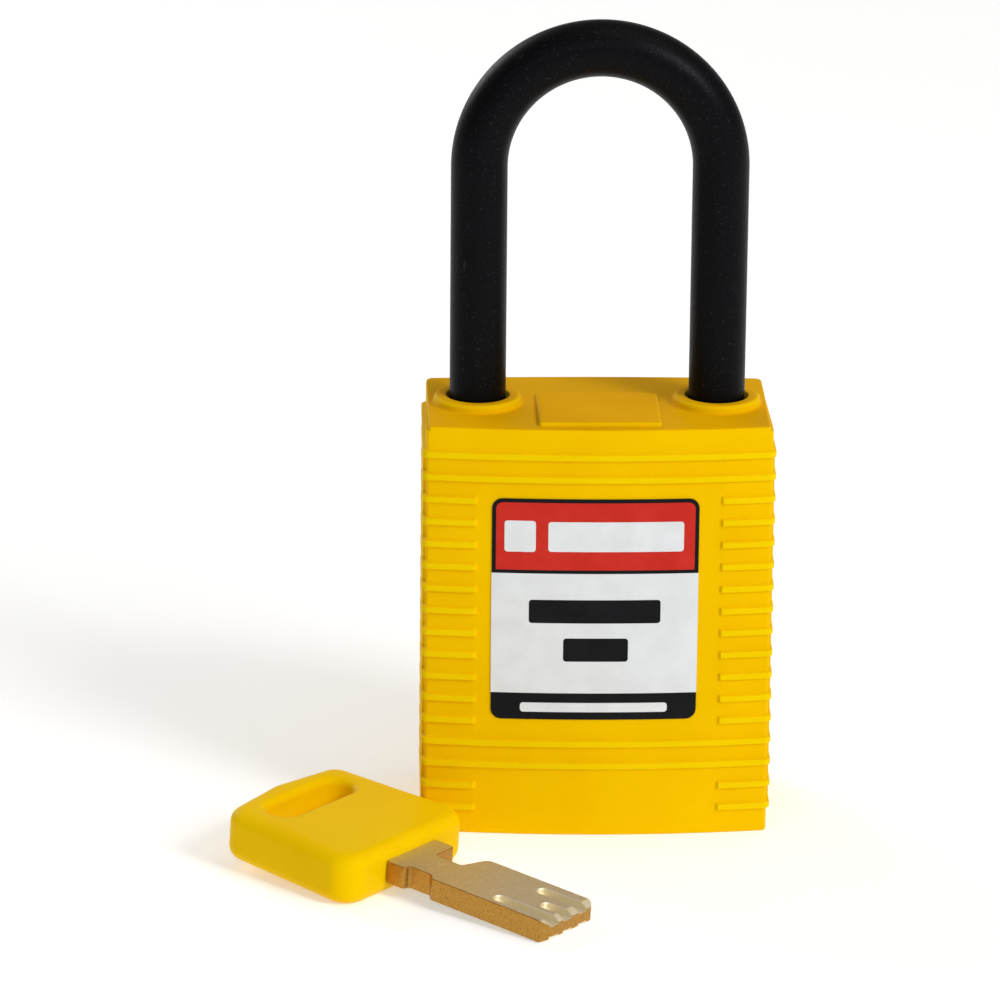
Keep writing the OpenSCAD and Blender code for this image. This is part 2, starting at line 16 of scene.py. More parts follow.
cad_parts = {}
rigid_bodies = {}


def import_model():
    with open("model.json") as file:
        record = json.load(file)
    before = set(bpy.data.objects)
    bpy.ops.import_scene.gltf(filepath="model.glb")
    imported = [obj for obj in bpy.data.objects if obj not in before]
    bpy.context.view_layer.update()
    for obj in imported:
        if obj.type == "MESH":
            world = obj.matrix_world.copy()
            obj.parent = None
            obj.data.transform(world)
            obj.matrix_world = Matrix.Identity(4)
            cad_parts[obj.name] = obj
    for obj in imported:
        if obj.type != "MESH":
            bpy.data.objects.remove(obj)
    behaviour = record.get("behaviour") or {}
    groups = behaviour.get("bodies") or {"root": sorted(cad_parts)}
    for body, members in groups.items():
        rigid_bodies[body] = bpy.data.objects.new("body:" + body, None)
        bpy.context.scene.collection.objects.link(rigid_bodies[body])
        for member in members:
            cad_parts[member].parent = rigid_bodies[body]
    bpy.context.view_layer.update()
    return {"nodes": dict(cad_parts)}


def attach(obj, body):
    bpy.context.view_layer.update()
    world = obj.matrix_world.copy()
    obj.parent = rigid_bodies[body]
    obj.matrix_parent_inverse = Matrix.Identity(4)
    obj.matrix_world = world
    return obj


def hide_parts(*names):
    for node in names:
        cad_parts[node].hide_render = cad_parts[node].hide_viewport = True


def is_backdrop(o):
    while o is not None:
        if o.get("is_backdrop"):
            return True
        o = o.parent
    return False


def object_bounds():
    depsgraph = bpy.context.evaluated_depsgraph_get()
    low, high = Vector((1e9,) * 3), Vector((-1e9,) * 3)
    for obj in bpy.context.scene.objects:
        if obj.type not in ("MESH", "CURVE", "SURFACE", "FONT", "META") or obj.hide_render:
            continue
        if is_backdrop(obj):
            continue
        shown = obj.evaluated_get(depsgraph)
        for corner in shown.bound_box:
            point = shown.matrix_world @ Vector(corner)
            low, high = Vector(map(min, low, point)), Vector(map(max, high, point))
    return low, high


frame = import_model()
nodes = frame["nodes"]


# %% Millimetres and colours
def mm(*values):
    """Millimetres as metres: one number, or a point."""
    scaled = [0.001 * v for v in values]
    return scaled[0] if len(scaled) == 1 else Vector(scaled)


def colour(hex_code):
    """An sRGB hex colour as the linear colour that Blender mixes with."""
    channels = [int(hex_code[i : i + 2], 16) / 255 for i in (1, 3, 5)]
    linear = [c / 12.92 if c <= 0.04045 else ((c + 0.055) / 1.055) ** 2.4 for c in channels]
    return (*linear, 1.0)


print("2.61 mm =", mm(2.61), "m")

# %% [markdown]
# ## The camera
# The padlock is seen from a little above its top and a touch from its left, from far away with a long
# lens: its upright lines stay parallel. The angles below were fitted to the distances between the legs,
# the collars and the edges of the body. A camera in Blender looks along its own -Z, so its matrix is
# built from three directions: right, up, and back towards the eye.

# %% Camera
YAW, PITCH, ROLL = math.radians(1.44), math.radians(17.79), math.radians(0.50)
TARGET = mm(-10.87, 0, 36.54)
DISTANCE = mm(641.0)
SENSOR_MM, LENS_MM = 36, 203.1

back = Vector((-math.sin(YAW) * math.cos(PITCH), -math.cos(YAW) * math.cos(PITCH), math.sin(PITCH)))
level_right = Vector((math.cos(YAW), -math.sin(YAW), 0))
level_up = back.cross(level_right)
right = math.cos(ROLL) * level_right + math.sin(ROLL) * level_up
up = -math.sin(ROLL) * level_right + math.cos(ROLL) * level_up

camera = bpy.data.objects.new("camera", bpy.data.cameras.new("camera"))
bpy.context.scene.collection.objects.link(camera)
turned = Matrix((right, up, back)).transposed().to_4x4()
camera.matrix_world = Matrix.Translation(TARGET + back * DISTANCE) @ turned
camera.data.sensor_width = SENSOR_MM
camera.data.lens = LENS_MM
camera.data.clip_start = 0.01
bpy.context.scene.camera = camera
print("camera at", [round(v, 3) for v in camera.location], "lens", camera.data.lens, "mm")

# %% Helper that finishes a piece
SAME_PLACE = 1e-7


def finish_piece(bm, name, body=None, replaces=(), materials=(), sharp=35):
    """Turns a bmesh into an object whose faces point outwards, and hangs it on its CAD body."""
    bmesh.ops.remove_doubles(bm, verts=bm.verts, dist=SAME_PLACE)
    bmesh.ops.recalc_face_normals(bm, faces=bm.faces)
    mesh = bpy.data.meshes.new(name)
    bm.to_mesh(mesh)
    bm.free()
    for face in mesh.polygons:
        face.use_smooth = True
    mesh.set_sharp_from_angle(angle=math.radians(sharp))
    for material in materials:
        mesh.materials.append(material)
    piece = bpy.data.objects.new(name, mesh)
    bpy.context.scene.collection.objects.link(piece)
    if body:
        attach(piece, body)
    if replaces:
        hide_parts(*replaces)
    print(f"{name}: {len(mesh.polygons)} faces")
    return piece


# %% [markdown]
# ## Materials
# Each finish starts from what it is and how it was made. One small function adds a node, sets its inputs
# and links it. Patterns are placed by Object coordinates: these are metres, so a pattern with N waves
# in a millimetre has a scale of 1000 N.

# %% A material, and one function that adds a node
def feed(node, inputs):
    """Gives inputs, by name or number, a plain value or a link from another node's output."""
    for name, value in inputs.items():
        if isinstance(value, bpy.types.NodeSocket):
            node.id_data.links.new(value, node.inputs[name])
        else:
            node.inputs[name].default_value = value


def add_node(tree, kind, inputs, stops=(), **settings):
    """Adds a node with its settings, its inputs and, if it is a colour ramp, its two stops."""
    node = tree.nodes.new(kind)
    for name, value in settings.items():
        setattr(node, name, value)
    feed(node, inputs)
    for number, (position, hex_code) in enumerate(stops):
        node.color_ramp.elements[number].position = position
        node.color_ramp.elements[number].color = colour(hex_code)
    return node


def start_material(name, inputs):
    """A material with these shader inputs. Gives it, its tree, its shader and the place on the piece."""
    material = bpy.data.materials.new(name)
    material.use_nodes = True
    tree = material.node_tree
    shader = tree.nodes["Principled BSDF"]
    feed(shader, inputs)
    return material, tree, shader, add_node(tree, "ShaderNodeTexCoord", {}).outputs["Object"]


def speckle(tree, place, size_mm, detail=2.0, stretch=(1, 1, 1)):
    """Noise whose lumps are about size_mm across, drawn out along an axis that has a small stretch."""
    placed = add_node(tree, "ShaderNodeMapping", {"Vector": place, "Scale": stretch}).outputs["Vector"]
    waves = {"Vector": placed, "Scale": 1000 / size_mm, "Detail": detail}
    return add_node(tree, "ShaderNodeTexNoise", waves).outputs["Fac"]


# %% [markdown]
# ### Moulded nylon, yellow and black
# Filled polyamide comes out of a spark-eroded mould with a fine even grain and a soft satin gleam. The
# pigment is never quite even: broad faint clouds keep the large faces from looking painted. The gleam of
# such a strong yellow is warm itself, so its reflection is tinted.

# %% Yellow nylons
CLOUD_MM, GLOSS_PATCH_MM = 9.0, 3.0


def moulded_nylon(name, dark, light, roughness, grain_mm, grain_depth, gleam, tint="#ffcf58"):
    """Satin moulded plastic with faint clouds of pigment and a mould grain, sized in mm."""
    basis = {"Base Color": colour(light), "IOR": 1.53, "Specular IOR Level": gleam}
    material, tree, shader, place = start_material(name, basis)
    clouds = speckle(tree, place, CLOUD_MM, 3.0)
    pigment = add_node(tree, "ShaderNodeValToRGB", {"Fac": clouds}, ((0.3, dark), (0.7, light)))
    patches = speckle(tree, place, GLOSS_PATCH_MM)
    spread = {"Value": patches, "To Min": roughness - 0.04, "To Max": roughness + 0.05}
    gloss = add_node(tree, "ShaderNodeMapRange", spread)
    grain = speckle(tree, place, grain_mm, 1.0)
    bump = add_node(tree, "ShaderNodeBump", {"Height": grain, "Distance": mm(grain_depth)})
    finish = {"Base Color": pigment.outputs["Color"], "Roughness": gloss.outputs["Result"]}
    feed(shader, finish | {"Normal": bump.outputs["Normal"], "Specular Tint": colour(tint)})
    return material, tree, shader, place


# Each has a dark and a light pigment, a roughness, the grain's size and depth, and the gleam's strength.
yellow_nylon = moulded_nylon("yellow_moulded_nylon", "#ecb900", "#f1c001", 0.5, 0.16, 0.006, 0.02)[0]
# The rib crests get a lighter yellow: a painted highlight where the tops of the ribs catch the light.
crest_highlight_nylon = moulded_nylon(
    "yellow_nylon_painted_crest_highlight", "#ebc600", "#f0cb03", 0.42, 0.3, 0.003, 0.03
)[0]
# The faces that face up get a darker, more orange yellow: painted shade, as the top is lit less than the
# front.
top_shade_nylon = moulded_nylon("yellow_nylon_top_painted_shade", "#e5a800", "#ecb001", 0.55, 0.16, 0.01, 0.015)[0]
# The pad's coarser grain is its own; its darker, more orange yellow is painted shade, as on the top.
pad_shade_nylon = moulded_nylon("yellow_nylon_coarse_grain_painted_shade", "#e9a700", "#f1b101", 0.6, 0.2, 0.02, 0.015)[0]
bow_nylon = moulded_nylon("yellow_nylon_smooth", "#f1c200", "#f5c802", 0.4, 0.25, 0.003, 0.04)[0]
print("yellow nylons:", [m.name for m in (yellow_nylon, crest_highlight_nylon, top_shade_nylon, pad_shade_nylon, bow_nylon)])

# %% [markdown]
# The black nylon holds glass fibre: a slightly harder gleam that breaks up into grain, and very small pale
# specks where fibres reach the skin, both drawn a little coarser than they are, so that they show. Years
# of hasps leave faint grey scuffs, which are short streaks that only show in places: one noise draws the
# streaks and a broader one says where they may be.

# %% Black nylon
STREAK_MM, STREAK_STRETCH, WORN_PLACE_MM = 0.35, (1.0, 1.0, 0.18), 6.0
FIBRE_MM, FIBRE_STRENGTH, GLEAM_GRAIN_MM = 0.28, 0.66, 0.25
black_nylon, black_tree, black_shader, black_place = moulded_nylon(
    "black_glass_filled_nylon", "#060607", "#0a0a0b", 0.38, 0.22, 0.02, 0.07, "#f2f4ff"
)
streaks = speckle(black_tree, black_place, STREAK_MM, 2.0, STREAK_STRETCH)
worn_places = speckle(black_tree, black_place, WORN_PLACE_MM, 1.0)
scuffs = add_node(black_tree, "ShaderNodeMath", {0: streaks, 1: worn_places}, operation="MULTIPLY")
specks = speckle(black_tree, black_place, FIBRE_MM, 1.0)
fibres = add_node(black_tree, "ShaderNodeMath", {0: specks, 1: FIBRE_STRENGTH}, operation="MULTIPLY")
both = {0: scuffs.outputs["Value"], 1: fibres.outputs["Value"]}
marks = add_node(black_tree, "ShaderNodeMath", both, operation="MAXIMUM").outputs["Value"]
stops = ((0.43, "#060607"), (0.5, "#222226"))
marked = add_node(black_tree, "ShaderNodeValToRGB", {"Fac": marks}, stops)
gleam_grain = speckle(black_tree, black_place, GLEAM_GRAIN_MM, 1.0)
spread = {"Value": gleam_grain, "To Min": 0.24, "To Max": 0.56}
broken_gleam = add_node(black_tree, "ShaderNodeMapRange", spread)
feed(black_shader, {"Base Color": marked.outputs["Color"], "Roughness": broken_gleam.outputs["Result"]})
print("black nylon:", len(black_tree.nodes), "nodes")

# %% [markdown]
# ### Metals
# The key's blade is brass, brushed across its length and slightly tarnished to a pale beige. Its cut
# edges keep a golden colour, mottled with dark oxide. The milled slots are fresh metal, and their pale
# cream is partly a painted highlight of the light that they catch. The plug and the pins are turned
# brass. The screw, the clips and the bolts are bright zinc-plated steel, the springs are drawn wire, and
# the cylinder housing and the cam are die-cast zinc, grey and a little grainy.

# %% Metals
EVEN = (1, 1, 1)


def brushed_metal(name, dark, light, roughness, stretch, depth_mm=0.002, size_mm=0.12, turn=0.0):
    """Metal with fine streaks. A small stretch along an axis draws the streaks out along it."""
    basis = {"Base Color": colour(light), "Roughness": roughness, "Metallic": 1.0}
    material, tree, shader, place = start_material(name, basis)
    turned = add_node(tree, "ShaderNodeMapping", {"Vector": place, "Rotation": (0, 0, math.radians(turn))})
    lines = speckle(tree, turned.outputs["Vector"], size_mm, 2.0, stretch)
    tone = add_node(tree, "ShaderNodeValToRGB", {"Fac": lines}, ((0.25, dark), (0.75, light)))
    bump = add_node(tree, "ShaderNodeBump", {"Height": lines, "Distance": mm(depth_mm)})
    feed(shader, {"Base Color": tone.outputs["Color"], "Normal": bump.outputs["Normal"]})
    return material


# Each has a dark and a light tone, a roughness, the streaks' stretch, depth and size, and their turn.
blade_face = brushed_metal(
    "brushed_tarnished_brass", "#c6bda4", "#e0d9c6", 0.45, (1, 0.12, 1), 0.003, 0.1, 40
)
blade_edge = brushed_metal("cut_brass_edge", "#a0722e", "#cb9c4c", 0.42, (1, 1, 0.7), 0.003, 0.16)
# The milled faces are fresh metal, painted paler still: partly a painted highlight where the slot floors
# catch the light.
slot_highlight_brass = brushed_metal("fresh_milled_brass_painted_highlight", "#f0e4c4", "#faf2dc", 0.55, EVEN, 0.002, 0.2)
turned_brass = brushed_metal("turned_brass", "#b8944e", "#d6b36a", 0.3, (1, 1, 0.2))
plated_steel = brushed_metal("zinc_plated_steel", "#b9bdc2", "#d4d7da", 0.3, EVEN, 0.001)
spring_wire = brushed_metal("drawn_spring_wire", "#8d9094", "#b0b3b7", 0.28, EVEN, 0.001)
cast_zinc = brushed_metal("die_cast_zinc", "#8f9298", "#a9acb1", 0.45, EVEN, 0.004, 0.3)
METALS = [blade_face, blade_edge, slot_highlight_brass, turned_brass, plated_steel, spring_wire, cast_zinc]
print("metals:", [m.name for m in METALS])

# %% [markdown]
# ### Printed film and paper
# The label is satin printed vinyl: an even ink with very faint mottling. The studio floor is matt white
# paper, which glows a little in the render as an overlit backdrop does.

# %% Inks and paper
INK_ROUGHNESS, INK_CLOUD_MM, INK_GRAIN_MM, PAPER_GRAIN_MM = 0.36, 2.5, 0.5, 0.8


def printed_film(name, dark, light):
    """Satin printed vinyl with an even ink."""
    basis = {"Base Color": colour(light), "Roughness": INK_ROUGHNESS, "IOR": 1.5, "Specular IOR Level": 0.1}
    material, tree, shader, place = start_material(name, basis)
    clouds = speckle(tree, place, INK_CLOUD_MM, 3.0)
    mottled = add_node(tree, "ShaderNodeValToRGB", {"Fac": clouds}, ((0.35, dark), (0.65, light)))
    grain = speckle(tree, place, INK_GRAIN_MM)
    bump = add_node(tree, "ShaderNodeBump", {"Height": grain, "Distance": mm(0.002)})
    feed(shader, {"Base Color": mottled.outputs["Color"], "Normal": bump.outputs["Normal"]})
    return material


ink_black = printed_film("printed_film_black", "#0d0d10", "#131316")
ink_red = printed_film("printed_film_red", "#c2271b", "#c92d22")
ink_white = printed_film("printed_film_white", "#dadcdd", "#e0e3e4")
INKS = [ink_black, ink_red, ink_white]

PAPER = {"Base Color": colour("#f6f6f5"), "Roughness": 0.9, "Specular IOR Level": 0.1}
GLOW = {"Emission Color": colour("#ffffff"), "Emission Strength": 0.3}
paper, paper_tree, paper_shader, paper_place = start_material("studio_paper", PAPER | GLOW)
paper_grain = speckle(paper_tree, paper_place, PAPER_GRAIN_MM)
paper_bump = add_node(paper_tree, "ShaderNodeBump", {"Height": paper_grain, "Distance": mm(0.01)})
feed(paper_shader, {"Normal": paper_bump.outputs["Normal"]})
print("inks and paper:", [m.name for m in INKS + [paper]])

# %% [markdown]
# ## Floor and light
# The part is shown in a white studio: a pale floor that runs up behind it with no horizon, one soft light
# high on the right, a wider and weaker one from the front, one overhead for the top faces and one that
# keeps the back readable. The left side gets little light, so the grooves there stay dark.

# %% Floor, world and lights
FLOOR_HALF, SWEEP_R = 1.2, 0.6
PADLOCK_MIDDLE = Vector((0, 0, 0.045))
floor_bm = bmesh.new()
bmesh.ops.create_grid(floor_bm, x_segments=2, y_segments=2, size=FLOOR_HALF)
far_edges = [e for e in floor_bm.edges if all(v.co.y > FLOOR_HALF - 0.01 for v in e.verts)]
sweep_centre = (0, FLOOR_HALF, SWEEP_R)
bmesh.ops.spin(
    floor_bm, geom=far_edges, cent=sweep_centre, axis=(1, 0, 0), angle=math.radians(90), steps=16
)
floor = finish_piece(floor_bm, "studio_floor", materials=[paper])
floor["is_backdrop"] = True

world = bpy.data.worlds.new("studio")
world.use_nodes = True
world.node_tree.nodes["Background"].inputs["Color"].default_value = colour("#f4f6f8")
world.node_tree.nodes["Background"].inputs["Strength"].default_value = 0.3
bpy.context.scene.world = world
bpy.context.scene.view_settings.view_transform = "Standard"


def soft_light(name, place, size, power, tint="#ffffff"):
    """A rectangular area light at a point in metres, turned towards the middle of the padlock."""
    data = bpy.data.lights.new(name, "AREA")
    data.shape = "RECTANGLE"
    data.size, data.size_y = size
    data.energy = power
    data.color = colour(tint)[:3]
    light = bpy.data.objects.new(name, data)
    bpy.context.scene.collection.objects.link(light)
    light.location = place
    light.rotation_euler = (PADLOCK_MIDDLE - Vector(place)).to_track_quat("-Z", "Y").to_euler()
    print(name, "power", power, "W")


soft_light("right_softbox", (0.8, -0.75, 0.75), (0.4, 0.4), 8.6, "#fbfdff")
soft_light("front_softbox", (-0.1, -1.2, 0.65), (0.9, 0.6), 2.0, "#fafdff")
soft_light("overhead_softbox", (0.3, -0.15, 1.05), (0.8, 0.8), 2.3, "#fff6ea")
soft_light("back_softbox", (-0.75, 0.9, 0.5), (0.6, 0.6), 4.6)

# %% [markdown]
# ## The body
# The nylon body is one moulding: gently bowed front and back, seventeen small flat-topped grip ribs, a band
# on each side with a narrow groove beside it, and two collars round the legs. One row of points is laid
# round the plan and pulled up through many levels, and each point is pushed out by the relief at its
# place. So every rib gets soft shoulders and round ends, which a bevel on such small steps can't give. Just
# under the top the sides step in a little at the front corners, which leaves a small ledge there. The
# collars, the pad and the hollows are then added and cut with exact Booleans.

# %% The body's numbers
BODY_W, BODY_D, BODY_H, SIDE_DRAFT = mm(38.4), mm(19.2), mm(48.2), mm(0.12)
HALF_W = BODY_W / 2 + SIDE_DRAFT
FRONT_CROWN, BACK_CROWN = mm(1.4), mm(0.55)
FRONT_R = (HALF_W**2 + FRONT_CROWN**2) / (2 * FRONT_CROWN)
BACK_R = (HALF_W**2 + BACK_CROWN**2) / (2 * BACK_CROWN)
FRONT_MIDDLE, BACK_MIDDLE = -BODY_D / 2 - FRONT_CROWN + FRONT_R, BODY_D / 2 + BACK_CROWN - BACK_R
TOP_EDGE_H, TOP_EDGE_IN, BASE_EDGE_R = mm(0.5), mm(0.22), mm(0.35)
FRONT_CORNER_R, BACK_CORNER_R, LEAST_CORNER_R = mm(0.45), mm(0.9), mm(0.12)
RIB_PITCH, FIRST_RIB, RIB_HALF, RIB_INNER_X = mm(2.61), mm(3.25), mm(0.425), mm(13.8)
RIBS = [FIRST_RIB + i * RIB_PITCH for i in range(17)]
WIDE_RIBS = {RIBS[i] for i in (2, 3, 15, 16)}
RIB_PROUD, SIDE_RIB_PROUD, BAND_PROUD, GROOVE_DEPTH = mm(0.38), mm(0.58), mm(0.48), mm(0.4)
FRONT_WIDER, BACK_WIDER, CAP_WIDER, LEDGE_Z = mm(0.2), mm(0.05), mm(-0.08), BODY_H - mm(0.47)
FRONT_WIDE_TO, BACK_WIDE_FROM = mm(-9), mm(6)
BAND_Y, GROOVE_Y, BAND_SLOPE, GROOVE_SLOPE = mm(8.2), mm(9.0), mm(0.16), mm(0.12)
BAND_FOOT, BAND_HEAD, GROOVE_RUN_OUT = (mm(2.8), mm(3.1)), (mm(44.6), mm(45.7)), mm(0.08)
RIB_CORNER_R, CREST_SHARE, LEDGE_NEAR, LEDGE_STEP = mm(0.15), 0.8, mm(0.07), mm(0.015)
print("ribs from", round(1000 * RIBS[0], 2), "to", round(1000 * RIBS[-1], 2), "mm")


# %% The plan of the body
def ease(value, low, high):
    """0 below low, 1 above high, and a smooth rise between."""
    t = max(0.0, min(1.0, (value - low) / (high - low)))
    return t * t * (3 - 2 * t)


def face_point(x, front, inset):
    """A point on the bowed front or back at x, and the way it faces."""
    radius, middle = (FRONT_R - inset, FRONT_MIDDLE) if front else (BACK_R - inset, BACK_MIDDLE)
    facing = Vector((x / radius, (-1 if front else 1) * math.sqrt(1 - (x / radius) ** 2)))
    return Vector((0, middle)) + facing * radius, facing


def corner_centre(r, front, inset, wider):
    """Middle of an upright edge of radius r, which meets the side and the bowed face smoothly."""
    x = HALF_W + wider - inset - r
    radius, middle = (FRONT_R - inset, FRONT_MIDDLE) if front else (BACK_R - inset, BACK_MIDDLE)
    reach = math.sqrt((radius - r) ** 2 - x * x)
    return Vector((x, middle - reach if front else middle + reach))


# Points lie close together where ribs end and where the band and the groove have their walls.
PLAIN_X = [mm(v) for v in (0, 1.5, 3, 4.5, 6, 7.5, 9, 10.5, 12, 13.0, 13.4)]
RIB_END_X = [RIB_INNER_X + mm(v) for v in (-0.17, -0.115, -0.065, -0.015, 0.035, 0.085, 0.135, 0.2, 0.5)]
FACE_X = PLAIN_X + RIB_END_X + [mm(v) for v in (15.2, 16.2, 17.2, 18.1)]
PLAIN_Y = [mm(v) for v in (0, 2, 4, 6, 7.2)]
BAND_EDGE_Y = [BAND_Y + mm(v) for v in (-0.3, -0.16, -0.08, -0.02, 0.04, 0.12)]
GROOVE_EDGE_Y = [GROOVE_Y + mm(v) for v in (-0.4, -0.12, -0.04, 0.02, 0.08, 0.14)]
SIDE_Y = PLAIN_Y + BAND_EDGE_Y + GROOVE_EDGE_Y
CORNER_STEPS, FACE_MARGIN, SIDE_MARGIN = 6, mm(0.2), mm(0.02)


def widening(y, capped):
    """How much wider than its half width the body is at a depth y. The cap is narrower at the front."""
    front = CAP_WIDER if capped else FRONT_WIDER
    return front + (BACK_WIDER - front) * ease(y, FRONT_WIDE_TO, BACK_WIDE_FROM)


def quarter_plan(front, inset, capped):
    """Points and facings from the middle of a face, round an upright edge, to the middle of the side."""
    r = max(LEAST_CORNER_R, (FRONT_CORNER_R if front else BACK_CORNER_R) - inset)
    side_edge_y = -BODY_D / 2 if front else BODY_D / 2
    centre = corner_centre(r, front, inset, widening(side_edge_y, capped))
    facing = face_point(centre.x, front, inset)[1]
    start = math.atan2(facing.y, facing.x)
    squeeze = min(1, (centre.x - FACE_MARGIN) / FACE_X[-1])
    rows = [(*face_point(x * squeeze, front, inset), 0.0) for x in FACE_X]
    for step in range(CORNER_STEPS + 1):
        turn = start * (1 - step / CORNER_STEPS)
        facing = Vector((math.cos(turn), math.sin(turn)))
        rows.append((centre + facing * r, facing, step / CORNER_STEPS))
    squeeze = min(1, (abs(centre.y) - SIDE_MARGIN) / SIDE_Y[-1])
    for y in reversed(SIDE_Y):
        y = math.copysign(y * squeeze, centre.y)
        rows.append((Vector((HALF_W + widening(y, capped) - inset, y)), Vector((1, 0)), 1.0))
    return rows


def whole_plan(inset, capped):
    """All points round the body, counter-clockwise from the middle of the front."""
    right_half = quarter_plan(True, inset, capped) + quarter_plan(False, inset, capped)[::-1][1:]
    left_half = [(Vector((-p.x, p.y)), Vector((-n.x, n.y)), side) for p, n, side in reversed(right_half)]
    return right_half + left_half[1:-1]


print("points round the body:", len(whole_plan(0.0, False)))


# %% Relief of the ribs, bands and grooves
SHOULDER = (  # distance outside the rib's outline in mm, share of the rib's height
    (-0.2, 1), (-0.135, 0.97), (-0.085, 0.86), (-0.035, 0.64),
    (0.015, 0.38), (0.065, 0.16), (0.115, 0.04), (0.17, 0),
)


def rib_share(outside):
    """Height of a rib, as a share, at a distance outside its outline: a flat top with round shoulders."""
    d = max(1000 * outside, SHOULDER[0][0])
    for (d0, h0), (d1, h1) in zip(SHOULDER, SHOULDER[1:]):
        if d <= d1:
            return h0 + (h1 - h0) * (d - d0) / (d1 - d0)
    return 0.0


def relief(point, side, z):
    """How far the surface stands out of the plain body here, and the share of that which is rib.

    side is 0 on a face, 1 on a side and between them round an upright edge.
    """
    y = abs(point.y)
    ends = ease(z, *BAND_FOOT) * (1 - ease(z, *BAND_HEAD))
    wider = widening(point.y, z > LEDGE_Z)
    ground = 0.0
    if side == 1:
        band = ends * (1 - ease(y, BAND_Y - BAND_SLOPE, BAND_Y))
        groove = ends * ease(y, BAND_Y, BAND_Y + GROOVE_SLOPE)
        groove *= 1 - ease(y, GROOVE_Y - GROOVE_SLOPE, GROOVE_Y + GROOVE_RUN_OUT)
        ground = (BAND_PROUD - wider) * band - (GROOVE_DEPTH + wider) * groove
    top = RIB_PROUD + (SIDE_RIB_PROUD - wider - RIB_PROUD) * ease(side, 0, 1)
    rib = min(RIBS, key=lambda r: abs(r - z))
    short = rib not in WIDE_RIBS and side == 0
    past_end = max(0.0, RIB_INNER_X + RIB_CORNER_R - abs(point.x)) if short else 0.0
    past_flank = max(0.0, abs(z - rib) - RIB_HALF + RIB_CORNER_R)
    outside = math.hypot(past_end, past_flank) - RIB_CORNER_R
    share = rib_share(outside)
    return ground + (top - ground) * share, share


# %% Levels of the body
levels = []  # height, and how far the outline has drawn in there
for degrees in (0, 30, 60, 90):
    angle = math.radians(degrees)
    levels.append((BASE_EDGE_R * (1 - math.cos(angle)), BASE_EDGE_R * (1 - math.sin(angle))))
flank = [RIB_HALF + mm(d) for d, _ in SHOULDER]
for rib in RIBS:
    levels += [(rib + rise, 0.0) for rise in [-d for d in reversed(flank)] + [0.0] + flank]
levels += [(mm(z), 0.0) for z in (45.9, 46.4, 47.0, 47.4)]
levels += [(LEDGE_Z - LEDGE_NEAR, 0.0), (LEDGE_Z - LEDGE_STEP, 0.0)]
TOP_EDGE_STEPS = 7
for step in range(TOP_EDGE_STEPS + 1):
    angle = math.radians(90 * step / TOP_EDGE_STEPS)
    drop, inset = TOP_EDGE_H * (1 - math.sin(angle)), TOP_EDGE_IN * (1 - math.cos(angle))
    levels.append((BODY_H - min(drop, BODY_H - LEDGE_Z - LEDGE_STEP), inset))
print("levels:", len(levels))


# %% Pull the body up, then push its points out
def around(v):
    """Turn of a point about the middle, from the front towards the right."""
    return math.atan2(v.co.x, -v.co.y) % math.tau


BODY_FINISHES = [yellow_nylon, crest_highlight_nylon, top_shade_nylon, pad_shade_nylon]
CREST_HIGHLIGHT, TOP_SHADE, PAD_SHADE = 1, 2, 3
body_bm = bmesh.new()
ring = bmesh.ops.create_circle(body_bm, segments=len(whole_plan(0.0, False)), radius=0.01)["verts"]
ring_edges = body_bm.edges[:]
rings = [sorted(ring, key=around)]
for _ in levels[1:]:
    raised = bmesh.ops.extrude_edge_only(body_bm, edges=ring_edges)["geom"]
    ring = [g for g in raised if isinstance(g, bmesh.types.BMVert)]
    top = set(ring)
    ring_edges = [g for g in raised if isinstance(g, bmesh.types.BMEdge) and top.issuperset(g.verts)]
    rings.append(sorted(ring, key=around))
crest = set()
for (z, inset), ring in zip(levels, rings):
    narrowing = 1 - SIDE_DRAFT * z / BODY_H / HALF_W
    for v, (point, facing, side) in zip(ring, whole_plan(inset, z > LEDGE_Z)):
        height, share = relief(point, side, z)
        out = point + facing * height
        v.co = (out.x * narrowing, out.y, z)
        if share > CREST_SHARE:
            crest.add(v)
# Faces whose points all lie high on a rib take the crest's lighter yellow: a painted highlight.
for face in body_bm.faces:
    if crest.issuperset(face.verts):
        face.material_index = CREST_HIGHLIGHT
for ring in (rings[0], rings[-1]):
    bmesh.ops.contextual_create(body_bm, geom=ring)
print("body rings:", len(rings), "x", len(rings[0]), "with", len(crest), "points on the ribs")
body = finish_piece(body_bm, "padlock_body", "root", ["body_shell"], BODY_FINISHES)

# %% [markdown]
# ### Collars, pad and hollows
# A collar is a short turned wall with a soft foot and a broad round lip, so its half section is spun about
# the leg's middle. The bores are spun the same way, and open at the top in a small round edge. The raised
# pad is a box whose edges are bevelled.

# %% Helpers for the pieces that are joined to the body or cut from it
def bend(centre, r, first, last, steps=5):
    """Points of an arc in a section, in mm and degrees."""
    turns = [math.radians(first + (last - first) * k / steps) for k in range(steps + 1)]
    return [(centre[0] + r * math.cos(t), centre[1] + r * math.sin(t)) for t in turns]


def spun(bm, section, middle=(0, 0), steps=72):
    """Spins a half section, given as (radius, height) in mm, about the upright line at middle."""
    verts = [bm.verts.new(mm(middle[0] + r, middle[1], z)) for r, z in section]
    edges = [bm.edges.new(pair) for pair in zip(verts, verts[1:])]
    centre = mm(*middle, 0)
    bmesh.ops.spin(
        bm, geom=verts + edges, cent=centre, axis=(0, 0, 1), angle=math.tau, steps=steps, use_merge=True
    )
    bmesh.ops.remove_doubles(bm, verts=bm.verts, dist=SAME_PLACE)


def soften(bm, edges, r, segments):
    """Rounds edges to a radius in mm."""
    bmesh.ops.bevel(
        bm, geom=edges, offset=mm(r), segments=segments, profile=0.5, affect="EDGES", material=-1
    )


